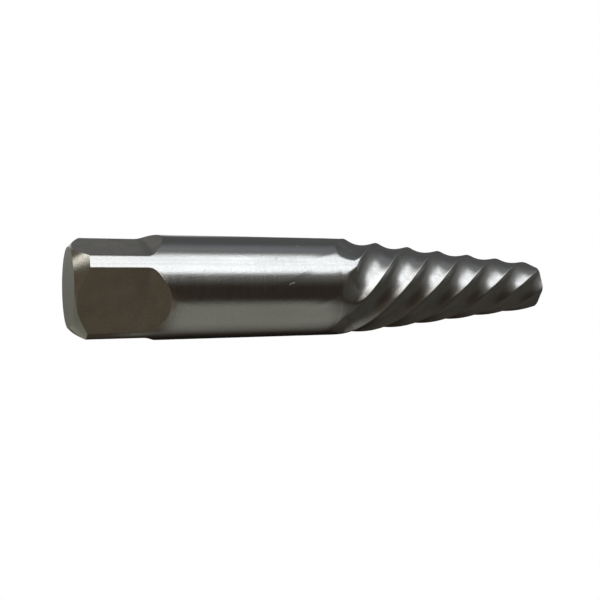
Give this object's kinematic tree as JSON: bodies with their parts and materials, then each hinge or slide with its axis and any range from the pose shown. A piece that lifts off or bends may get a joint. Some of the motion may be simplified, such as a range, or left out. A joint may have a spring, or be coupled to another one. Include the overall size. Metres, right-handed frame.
{
  "type": "screw extractor",
  "caption": "Tapered left-hand spiral screw extractor with a round shank and a square drive end, for backing out broken screws.",
  "frame": {"origin": "middle of the flat end face at the drive end, which the tool stands on", "axes": "+Z along the tool's axis from the drive end to the tip; +X and +Y square to the four drive flats"},
  "size_m": [0.0176, 0.0176, 0.0922],
  "materials": {
    "tool_steel": "bright ground shank, satin milled flutes and flats"
  },
  "bodies": {
    "root": {"extractor": "tool_steel"}
  },
  "joints": []
}
